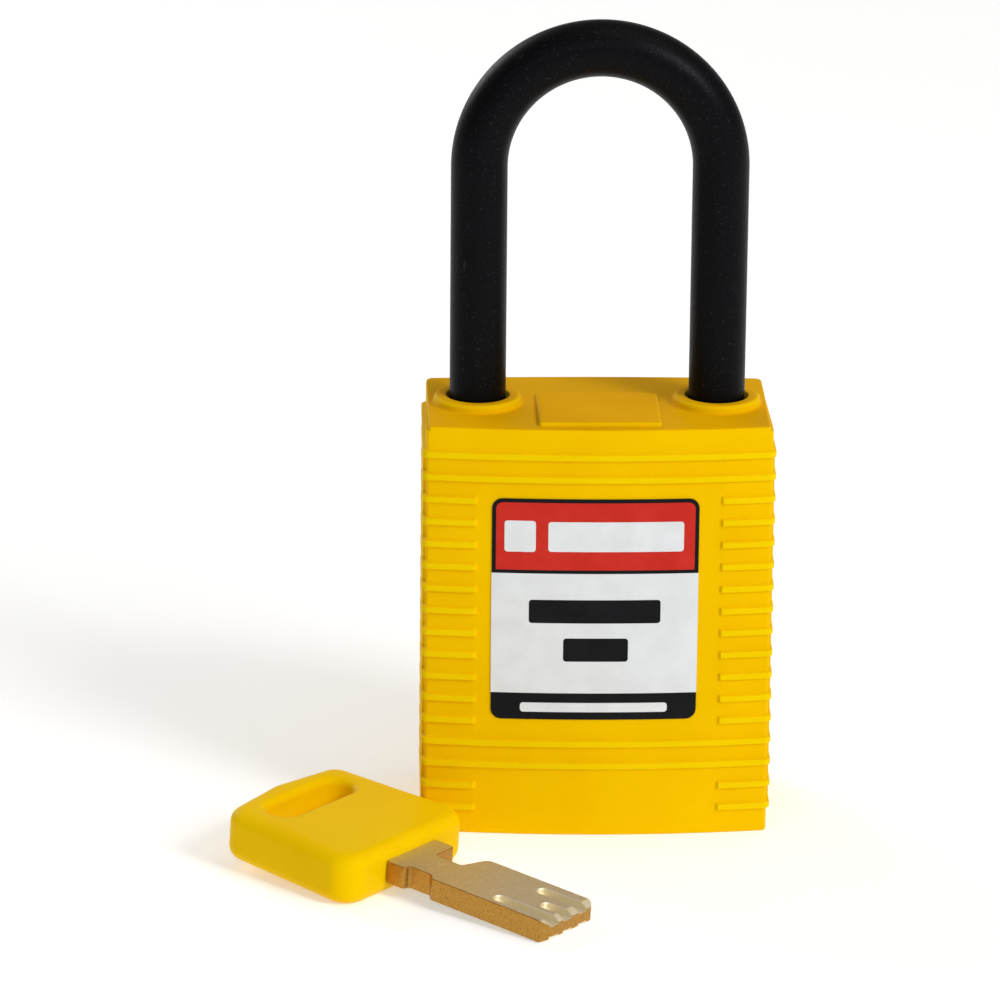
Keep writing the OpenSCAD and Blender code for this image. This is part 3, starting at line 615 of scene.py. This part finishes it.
def block(bm, low, high, edge_r=0.0, top_r=0.0, segments=4, turn=0.0):
    """A box between two corners in mm, with rounded upright edges and a rounded top rim."""
    low, high = mm(*low), mm(*high)
    made = bmesh.ops.create_cube(bm, size=1)["verts"]
    bmesh.ops.scale(bm, verts=made, vec=high - low)
    bmesh.ops.translate(bm, verts=made, vec=(low + high) / 2)
    if edge_r:
        upright = [e for e in bm.edges if abs(e.verts[0].co.z - e.verts[1].co.z) > SAME_PLACE]
        soften(bm, upright, edge_r, segments)
    if top_r:
        rim = [e for e in bm.edges if all(v.co.z > high.z - SAME_PLACE for v in e.verts)]
        soften(bm, rim, top_r, segments)
    bmesh.ops.rotate(bm, verts=bm.verts, cent=(0, 0, 0), matrix=Matrix.Rotation(math.radians(turn), 3, "Z"))


# %% Joining, cutting and shading
def combine(target, build, operation):
    """Joins what build(bm) makes to target, or cuts it away, for good."""
    bm = bmesh.new()
    build(bm)
    bmesh.ops.recalc_face_normals(bm, faces=bm.faces)
    mesh = bpy.data.meshes.new("tool")
    bm.to_mesh(mesh)
    bm.free()
    tool = bpy.data.objects.new("tool", mesh)
    bpy.context.scene.collection.objects.link(tool)
    boolean = target.modifiers.new("combine", "BOOLEAN")
    boolean.operation = operation
    boolean.solver = "EXACT"
    boolean.object = tool
    depsgraph = bpy.context.evaluated_depsgraph_get()
    result = bpy.data.meshes.new_from_object(target.evaluated_get(depsgraph))
    target.modifiers.remove(boolean)
    old, target.data = target.data, result
    bpy.data.meshes.remove(old)
    bpy.data.objects.remove(tool)
    bpy.data.meshes.remove(mesh)


def smooth_by_angle(piece, angle):
    """Smooth shading, broken at edges sharper than the angle, that keeps large flat faces flat."""
    for face in piece.data.polygons:
        face.use_smooth = True
    piece.data.set_sharp_from_angle(angle=math.radians(angle))
    weighted = piece.modifiers.new("flat faces", "WEIGHTED_NORMAL")
    weighted.keep_sharp = True
    print(f"{piece.name}: {len(piece.data.polygons)} faces, {len(piece.data.vertices)} points")


# %% Join the collars and the pad
LEG_X, ROOT_Z, COLLAR_TOP = 13.5, 46, 49.15
FOOT_R, FOOT_Z, FOOT_BEND = 5.32, 48.19, 0.34
LIP_R, LIP_BEND = 4.4, 0.57
collar_foot = bend((FOOT_R, FOOT_Z + FOOT_BEND), FOOT_BEND, 270, 184, 8)
collar_lip = bend((LIP_R, COLLAR_TOP - LIP_BEND), LIP_BEND, 4, 90, 10)
collar = [(0, ROOT_Z), (FOOT_R, ROOT_Z)] + collar_foot + collar_lip + [(0, COLLAR_TOP)]
for x in (-LEG_X, LEG_X):
    combine(body, lambda bm: spun(bm, collar, (x, 0)), "UNION")
PAD_HALF_W, PAD_FRONT, PAD_BACK, PAD_TOP = 6.9, -9.6, 2.6, 48.65
PAD_CORNER_R, PAD_RIM_R = 0.5, 0.38
pad = ((-PAD_HALF_W, PAD_FRONT, ROOT_Z), (PAD_HALF_W, PAD_BACK, PAD_TOP), PAD_CORNER_R, PAD_RIM_R)
combine(body, lambda bm: block(bm, *pad), "UNION")
print("body with collars and pad:", len(body.data.polygons), "faces")

# %% Sections and corners of the hollows
BELOW, ABOVE = -1, 50
BORE_R, MOUTH_Z, MOUTH_BEND = 3.575, 49.0, 0.16
SPRING_R, SPRING_TOP = 4.1, 36
BOSS_R, BOSS_TOP, SCREW_R, SCREW_TOP = 3.425, 7.7, 1.65, 12
mouth = bend((BORE_R + MOUTH_BEND, MOUTH_Z), MOUTH_BEND, 180, 95, 4) + [(3.8, ABOVE), (0, ABOVE)]
long_bore = [(0, BELOW), (SPRING_R, BELOW), (SPRING_R, SPRING_TOP), (BORE_R, SPRING_TOP)] + mouth
short_bore = [(0, BELOW), (BOSS_R, BELOW), (BOSS_R, BOSS_TOP), (SCREW_R, BOSS_TOP), (SCREW_R, SCREW_TOP)]
short_bore += [(BORE_R, SCREW_TOP)] + mouth
COVER_ROOM = ((-18.1, -8.5, BELOW), (18.1, 8.5, 2.2), 1.5)
CYLINDER_ROOM = [(0, BELOW), (8.25, BELOW), (8.25, 39.275), (0, 39.275)]
LUG_ROOM = ((7.2, -1.55, 2.15), (9.05, 1.55, 36.1))
BOLT_ROOM = ((-LEG_X, -2.65, 39.2), (LEG_X, 2.65, 44.6))
print("bores", 2 * BORE_R, "mm wide,", round(COLLAR_TOP - SPRING_TOP, 2), "mm long above the spring's room")

# %% Cut the hollows
combine(body, lambda bm: spun(bm, long_bore, (-LEG_X, 0)), "DIFFERENCE")
combine(body, lambda bm: spun(bm, short_bore, (LEG_X, 0)), "DIFFERENCE")
combine(body, lambda bm: block(bm, *COVER_ROOM), "DIFFERENCE")
combine(body, lambda bm: spun(bm, CYLINDER_ROOM), "DIFFERENCE")
combine(body, lambda bm: block(bm, *LUG_ROOM, turn=45), "DIFFERENCE")
combine(body, lambda bm: block(bm, *BOLT_ROOM), "DIFFERENCE")
print("body with its hollows:", len(body.data.polygons), "faces")

# %% Which faces of the top get painted shade
TOP_FROM, FOOT_TO, PAD_FROM, PAD_TO_X = mm(48.1), mm(48.45), mm(48.6), mm(7)
LEVEL_RISE, FOOT_RISE = 0.9, 0.45
# Faces that face up on the top, the collars and the pad get the darker yellow of painted shade. On the
# collars' feet a lower slope is enough, so the edge of that shade falls where the shading already turns.
for face in body.data.polygons:
    z = face.center.z
    least_rise = FOOT_RISE if TOP_FROM < z < FOOT_TO else LEVEL_RISE
    if z > TOP_FROM and face.normal.z > least_rise:
        # The pad's top takes the coarser grain with the same painted shade.
        on_pad = z > PAD_FROM and abs(face.center.x) < PAD_TO_X
        face.material_index = PAD_SHADE if on_pad else TOP_SHADE
smooth_by_angle(body, 38)

# %% [markdown]
# ## The shackle
# A tall bar of black nylon, round in section, bent over at the top. One circle is spun through half a
# turn to make the arch, and its two ends are drawn down into the legs. The notches that the bolts enter,
# and the groove for the clip, are hidden in the body until the lock opens.

# %% Shackle
SHACKLE_R, ARCH_Z = 3.175, 75.675
SHORT_END, LONG_END, LEG_CHAMFER = 37.9, 21.6, 0.6
CLIP_TOP, CLIP_FLOOR, CLIP_R = 24.42, 23.58, 2.375
bar = bmesh.new()
first_place = Matrix.Translation(mm(LEG_X, 0, ARCH_Z))
bmesh.ops.create_circle(bar, segments=64, radius=mm(SHACKLE_R), matrix=first_place)
first_ring = bar.edges[:]
last_ring = bmesh.ops.spin(
    bar, geom=bar.verts[:] + bar.edges[:], cent=mm(0, 0, ARCH_Z), axis=(0, -1, 0), angle=math.pi, steps=96
)["geom_last"]
last_ring = [g for g in last_ring if isinstance(g, bmesh.types.BMEdge)]


def draw_leg(bm, ring, x, heights):
    """Extrudes an end ring down through (height, radius) steps in mm, and closes it."""
    for height, radius in heights:
        made = bmesh.ops.extrude_edge_only(bm, edges=ring)["geom"]
        lower = {g for g in made if isinstance(g, bmesh.types.BMVert)}
        ring = [g for g in made if isinstance(g, bmesh.types.BMEdge) and lower.issuperset(g.verts)]
        for v in lower:
            turn = math.atan2(v.co.y, v.co.x - mm(x))
            v.co = mm(x + radius * math.cos(turn), radius * math.sin(turn), height)
    bmesh.ops.contextual_create(bm, geom=list(dict.fromkeys(v for e in ring for v in e.verts)))


def chamfered_end(z):
    """The last two steps of a leg that ends at height z."""
    return [(z + LEG_CHAMFER, SHACKLE_R), (z, SHACKLE_R - LEG_CHAMFER)]


clip_groove = [(CLIP_TOP, SHACKLE_R), (CLIP_TOP, CLIP_R), (CLIP_FLOOR, CLIP_R), (CLIP_FLOOR, SHACKLE_R)]
draw_leg(bar, first_ring, LEG_X, chamfered_end(SHORT_END))
draw_leg(bar, last_ring, -LEG_X, clip_groove + chamfered_end(LONG_END))
shackle = finish_piece(bar, "shackle_bar", "shackle_group", ["shackle"], [black_nylon])


def prism(bm, profile, depth):
    """A profile in the XZ plane, in mm, carried from -depth to depth along Y."""
    face = bm.faces.new([bm.verts.new(mm(x, -depth, z)) for x, z in profile])
    made = bmesh.ops.extrude_face_region(bm, geom=[face])["geom"]
    made = [g for g in made if isinstance(g, bmesh.types.BMVert)]
    bmesh.ops.translate(bm, verts=made, vec=mm(0, 2 * depth, 0))


NOTCH = [(9.325, 44.7), (11.625, 44.7), (11.625, 43.45), (10.325, 38.92), (9.325, 38.92)]
NOTCH_HALF_DEPTH = 4
for side in (-1, 1):
    notch = [(side * x, z) for x, z in NOTCH]
    combine(shackle, lambda bm: prism(bm, notch, NOTCH_HALF_DEPTH), "DIFFERENCE")
smooth_by_angle(shackle, 30)

# %% [markdown]
# ## The label
# A printed film with round corners, stuck to the bowed face: a black ground, a red field above, a white
# panel and a black foot, with plain bars of ink on them. Each field is a thin film of its own, a hair
# above the one below it, and all of them are bent to the bow of the body.

# %% Label
LABEL_X, LABEL_Z, LABEL_W, LABEL_H = -0.4, 27.1, 23.2, 26.1
LABEL_FOOT, LABEL_HEAD = LABEL_Z - LABEL_H / 2, LABEL_Z + LABEL_H / 2
GROUND_UP, FIELD_UP, BAR_UP, FILM_T, BAR_CORNER_R = 0.13, 0.15, 0.17, 0.11, 0.35
BLACK, RED, WHITE = 0, 1, 2
FILMS = [  # half width, foot, head, corner radius at the foot and at the head, height off the face, ink
    (LABEL_W / 2, LABEL_FOOT, LABEL_HEAD, 1.17, 1.17, GROUND_UP, BLACK),
    (11.15, 31.82, 39.72, 0.05, 0.75, FIELD_UP, RED),
    (11.62, 17.2, 31.4, 0.05, 0.05, FIELD_UP, WHITE),
]
BARS = [  # left, right, foot, head, ink
    (-10.2, -6.7, 33.95, 37.6, WHITE),
    (-5.3, 9.9, 34.0, 37.5, WHITE),
    (-7.4, 7.4, 25.55, 28.3, BLACK),
    (-3.5, 3.8, 21.0, 23.75, BLACK),
    (-8.3, 8.3, 14.95, 16.05, WHITE),
]


def film(bm, low, high, foot_r, head_r, top, ink):
    """A thin film from low to high in mm with round corners, which stands top mm off the bowed face."""
    start = set(bm.verts)
    made = bmesh.ops.create_grid(bm, x_segments=1, y_segments=1, size=0.5)["verts"]
    bmesh.ops.rotate(bm, verts=made, cent=(0, 0, 0), matrix=Matrix.Rotation(math.pi / 2, 3, "X"))
    bmesh.ops.scale(bm, verts=made, vec=(mm(high[0] - low[0]), 1, mm(high[1] - low[1])))
    bmesh.ops.translate(bm, verts=made, vec=mm((low[0] + high[0]) / 2, 0, (low[1] + high[1]) / 2))
    middle = mm((low[1] + high[1]) / 2)
    head = [v for v in made if v.co.z > middle]
    foot = [v for v in made if v.co.z < middle]
    for corners, r in ((head, head_r), (foot, foot_r)):
        bmesh.ops.bevel(
            bm, geom=corners, offset=mm(r), segments=8, profile=0.5, affect="VERTICES", material=-1
        )
    for x in range(math.ceil(low[0]), math.ceil(high[0])):
        mine = [v for v in bm.verts if v not in start]
        edges = dict.fromkeys(e for v in mine for e in v.link_edges)
        faces = dict.fromkeys(f for v in mine for f in v.link_faces)
        geom = mine + list(edges) + list(faces)
        bmesh.ops.bisect_plane(bm, geom=geom, plane_co=mm(x, 0, 0), plane_no=(1, 0, 0))
    flat = list(dict.fromkeys(f for v in bm.verts if v not in start for f in v.link_faces))
    outer = bmesh.ops.extrude_face_region(bm, geom=flat)["geom"]
    outer = {g for g in outer if isinstance(g, bmesh.types.BMVert)}
    for v in bm.verts:
        if v not in start:
            radius = FRONT_R + mm(top if v in outer else top - FILM_T)
            v.co.y = FRONT_MIDDLE - math.sqrt(radius**2 - v.co.x**2)
            for face in v.link_faces:
                face.material_index = ink


label_bm = bmesh.new()
for half, foot, head, foot_r, head_r, top, ink in FILMS:
    film(label_bm, (LABEL_X - half, foot), (LABEL_X + half, head), foot_r, head_r, top, ink)
for left_x, right_x, foot, head, ink in BARS:
    low, high = (LABEL_X + left_x, foot), (LABEL_X + right_x, head)
    film(label_bm, low, high, BAR_CORNER_R, BAR_CORNER_R, BAR_UP, ink)
finish_piece(label_bm, "label_film", "root", ["front_label"], INKS, sharp=30)

# %% [markdown]
# ## The key
# The key lies on the table in front of the lock, as it comes to rest: on the lower edge of its bow and on
# the tip of its blade. It is drawn along +X first and then laid down. The bow is a thick soft slab: an
# outline and a slot are filled to a plate, pulled up to a slab, and all four rims are rounded.

# %% Where the key lies
BOW_T, BOW_EDGE, BLADE_T, BLADE_LEN = 6.0, 1.6, 2.6, 22.6
KEY_PLACE, KEY_TURN = mm(-22.5, -25, 0), math.radians(-40)
KEY_TILT = math.atan((BOW_T - BLADE_T) / 2 / (BLADE_LEN + BOW_EDGE))
lay_key = (
    Matrix.Translation(KEY_PLACE)
    @ Matrix.Rotation(KEY_TURN, 4, "Z")
    @ Matrix.Rotation(KEY_TILT, 4, "Y")
    @ Matrix.Translation(mm(BOW_EDGE, 0, BOW_T / 2))
)
print("key lies tilted by", round(math.degrees(KEY_TILT), 2), "degrees")


# %% Outlines with round corners
def round_corners(corners, steps):
    """Points round a convex outline given as (x, y, radius) of its corner circles, counter-clockwise."""
    points = []
    count = len(corners)

    def leave(a, b):
        """Turn at which a taut string leaves circle a for circle b."""
        gap = math.hypot(b[0] - a[0], b[1] - a[1])
        return math.atan2(b[1] - a[1], b[0] - a[0]) - math.acos(max(-1, min(1, (a[2] - b[2]) / gap)))

    for i, corner in enumerate(corners):
        x, y, r = corner
        start = leave(corners[i - 1], corner)
        end = leave(corner, corners[(i + 1) % count])
        while end < start:
            end += math.tau
        turns = [start + (end - start) * k / steps for k in range(steps + 1)]
        points += [(x + r * math.cos(t), y + r * math.sin(t)) for t in turns]
    return points


def loop_of(bm, points, z):
    """A closed row of edges through points in mm."""
    verts = [bm.verts.new(mm(x, y, z)) for x, y in points]
    return [bm.edges.new((verts[i - 1], verts[i])) for i in range(len(verts))]


def pull_up(bm, faces, height):
    """Extrudes faces straight up by a height in mm."""
    made = bmesh.ops.extrude_face_region(bm, geom=faces)["geom"]
    made = [g for g in made if isinstance(g, bmesh.types.BMVert)]
    bmesh.ops.translate(bm, verts=made, vec=mm(0, 0, height))
    bmesh.ops.recalc_face_normals(bm, faces=bm.faces)


def rims_of(bm):
    """The level edges between a flat side and a wall."""
    edges = [e for e in bm.edges if len(e.link_faces) == 2]
    edges = [e for e in edges if abs(e.verts[0].co.z - e.verts[1].co.z) < SAME_PLACE]
    return [e for e in edges if abs(e.link_faces[0].normal.dot(e.link_faces[1].normal)) < 0.5]


# %% Key bow
BOW_CORNERS = [(-3, -7.5, 3), (-3, 7.5, 3), (-17, 7.1, 2.6), (-14.5, 0, 6), (-17, -7.1, 2.6)]
HANGING_X, HANGING_Y, HANGING_R, HANGING_EDGE = -14.9, 4.3, 2.1, 0.9
HANGING_CORNERS = [(HANGING_X, -HANGING_Y, HANGING_R), (HANGING_X, HANGING_Y, HANGING_R)]
near_slot = mm(HANGING_R + 0.2)
bow_bm = bmesh.new()
plate = loop_of(bow_bm, round_corners(BOW_CORNERS, 12), -BOW_T / 2)
plate += loop_of(bow_bm, round_corners(HANGING_CORNERS, 30), -BOW_T / 2)
bmesh.ops.triangle_fill(bow_bm, edges=plate, use_beauty=True)
pull_up(bow_bm, bow_bm.faces[:], BOW_T)
slot_rims, outer_rims = [], []
for edge in rims_of(bow_bm):
    beside_slot = all(abs(v.co.x - mm(HANGING_X)) < near_slot for v in edge.verts)
    along_slot = all(abs(v.co.y) < mm(HANGING_Y) + near_slot for v in edge.verts)
    (slot_rims if beside_slot and along_slot else outer_rims).append(edge)
soften(bow_bm, outer_rims, BOW_EDGE, 7)
soften(bow_bm, [e for e in slot_rims if e.is_valid], HANGING_EDGE, 5)
bmesh.ops.transform(bow_bm, matrix=lay_key, verts=bow_bm.verts)
bow = finish_piece(bow_bm, "key_bow_soft", "root", ["key_bow"], [bow_nylon])
smooth_by_angle(bow, 40)

# %% [markdown]
# ### The blade
# A stamped and milled strip of brass. Its outline is drawn with small round corners and pulled up to its
# thickness, and the rims lose their sharpness. Then the three slots are cut into each side with a flared
# mouth, and the lands between them are cut back at a slope at the tip.

# %% Blade
BLADE_CORNERS = [  # x, y and corner radius in mm
    (-8, -4.0, 0), (0, -4.0, 0.1), (0.2, -4.3, 0.1), (2.6, -4.3, 0.35), (2.8, -3.5, 0.3), (5.8, -3.5, 0.3),
    (6.4, -4.3, 0.3), (21.8, -4.3, 0.4), (22.6, -3.5, 0.4), (22.6, 3.7, 0.3), (22.0, 4.3, 0.3),
    (7.6, 4.3, 0.7), (6.4, 1.0, 0.35), (2.8, 1.0, 0.35), (2.8, 4.3, 0.5), (0.2, 4.3, 0.1), (0, 4.0, 0.1),
    (-8, 4.0, 0),
]
SLOTS = [(2.15, 5.5), (-0.5, 2.8), (-2.8, 7.6)]  # place across the blade, length from the tip
SLOT_HALF, SLOT_FLOOR, FLARE, RIM_R = 0.75, 0.55, 0.1, 0.12
blade_bm = bmesh.new()
corners = [blade_bm.verts.new(mm(x, y, -BLADE_T / 2)) for x, y, _ in BLADE_CORNERS]
blade_bm.faces.new(corners)
for vert, (_, _, r) in zip(corners, BLADE_CORNERS):
    if r:
        bmesh.ops.bevel(
            blade_bm, geom=[vert], offset=mm(r), segments=5, profile=0.5, affect="VERTICES", material=-1
        )
pull_up(blade_bm, blade_bm.faces[:], BLADE_T)
soften(blade_bm, rims_of(blade_bm), RIM_R, 2)
blade = finish_piece(
    blade_bm, "key_blade_milled", "root", ["key_blade"], [blade_face, blade_edge, slot_highlight_brass]
)


def slot_cut(bm, y, length, side):
    """A slot from the tip of the blade with a round end, whose walls flare out at the surface."""
    end, beyond = BLADE_LEN - length, BLADE_LEN + 2
    height = BLADE_T / 2 - FLARE
    low = (end - SLOT_HALF, y - SLOT_HALF, SLOT_FLOOR)
    block(bm, low, (beyond, y + SLOT_HALF, height), SLOT_HALF - 0.001, segments=8)
    for rise, spread in ((1.5 * FLARE, 1.5 * FLARE), (1.0, 0.0)):
        lid = [f for f in bm.faces if all(v.co.z > mm(height) - SAME_PLACE for v in f.verts)]
        made = bmesh.ops.extrude_face_region(bm, geom=lid)["geom"]
        bmesh.ops.delete(bm, geom=lid, context="FACES_ONLY")
        for v in (g for g in made if isinstance(g, bmesh.types.BMVert)):
            spine = Vector((min(max(v.co.x, mm(end)), mm(beyond - SLOT_HALF)), mm(y), v.co.z))
            v.co += (v.co - spine).normalized() * mm(spread) + mm(0, 0, rise)
        height += rise
    bmesh.ops.scale(bm, verts=bm.verts, vec=(1, 1, side))


TIP_CUT = [(21.55, 1.35), (22.75, 0.72), (22.75, 1.8), (21.55, 1.8)]
TIP_CUT_HALF_W = 6
for side in (1, -1):
    for y, length in SLOTS:
        combine(blade, lambda bm: slot_cut(bm, y, length, side), "DIFFERENCE")
    tip_cut = [(x, side * z) for x, z in TIP_CUT]
    combine(blade, lambda bm: prism(bm, tip_cut, TIP_CUT_HALF_W), "DIFFERENCE")

# %% Which faces of the blade are brushed, cut or milled
BRUSHED, CUT, MILLED = 0, 1, 2
LEVEL, SLOPING, TIP_FROM, ABOVE_FLOOR = 0.95, 0.5, 21.5, 0.5
BESIDE_SLOT, BEHIND_SLOT, CLOSE = SLOT_HALF + FLARE + 0.02, 0.9, 0.01


def by_a_slot(x, y):
    """Whether a point of the blade, in mm, lies in a slot or close to its rim."""
    here = [across for across, length in SLOTS if x > BLADE_LEN - length - BEHIND_SLOT]
    return any(abs(y - across) < BESIDE_SLOT for across in here)


for face in blade.data.polygons:
    x, y, z = 1000 * face.center
    rise = abs(face.normal.z)
    on_tip_cut = x > TIP_FROM and SLOPING < rise < LEVEL
    if abs(z) > BLADE_T / 2 - CLOSE and rise > LEVEL:
        face.material_index = BRUSHED
    # Milled faces in the slots and at the tip take the pale cream, which is partly a painted highlight.
    elif abs(z) > ABOVE_FLOOR and (by_a_slot(x, y) or on_tip_cut):
        face.material_index = MILLED
    else:
        face.material_index = CUT
blade.data.transform(lay_key)
smooth_by_angle(blade, 30)

# %% [markdown]
# ## The lock work
# The pieces inside, and the base, keep their engineering shape and get their finish here. They show from
# below and when the lock is open.

# %% Finishes of the pieces that keep their shape
FINISHES = {
    yellow_nylon: ["bottom_cover"],
    turned_brass: ["plug", "pin_chamber_cap"] + [f"key_pin_{n}" for n in range(1, 7)],
    plated_steel: ["retaining_screw", "heel_clip", "plug_clip", "latch_bolt_right", "latch_bolt_left"]
    + [f"driver_pin_{n}" for n in range(1, 7)],
    spring_wire: ["shackle_spring"] + [f"pin_spring_{n}" for n in range(1, 7)],
    cast_zinc: ["scroll_cam", "cylinder_housing"],
}
for material, names in FINISHES.items():
    for name in names:
        for material_slot in nodes[name].material_slots:
            material_slot.material = material
print("finished", sum(len(names) for names in FINISHES.values()), "frame pieces")

# %% Sizes, and the end
low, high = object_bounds()
print("visual size in mm:", [round(1000 * v, 2) for v in high - low])
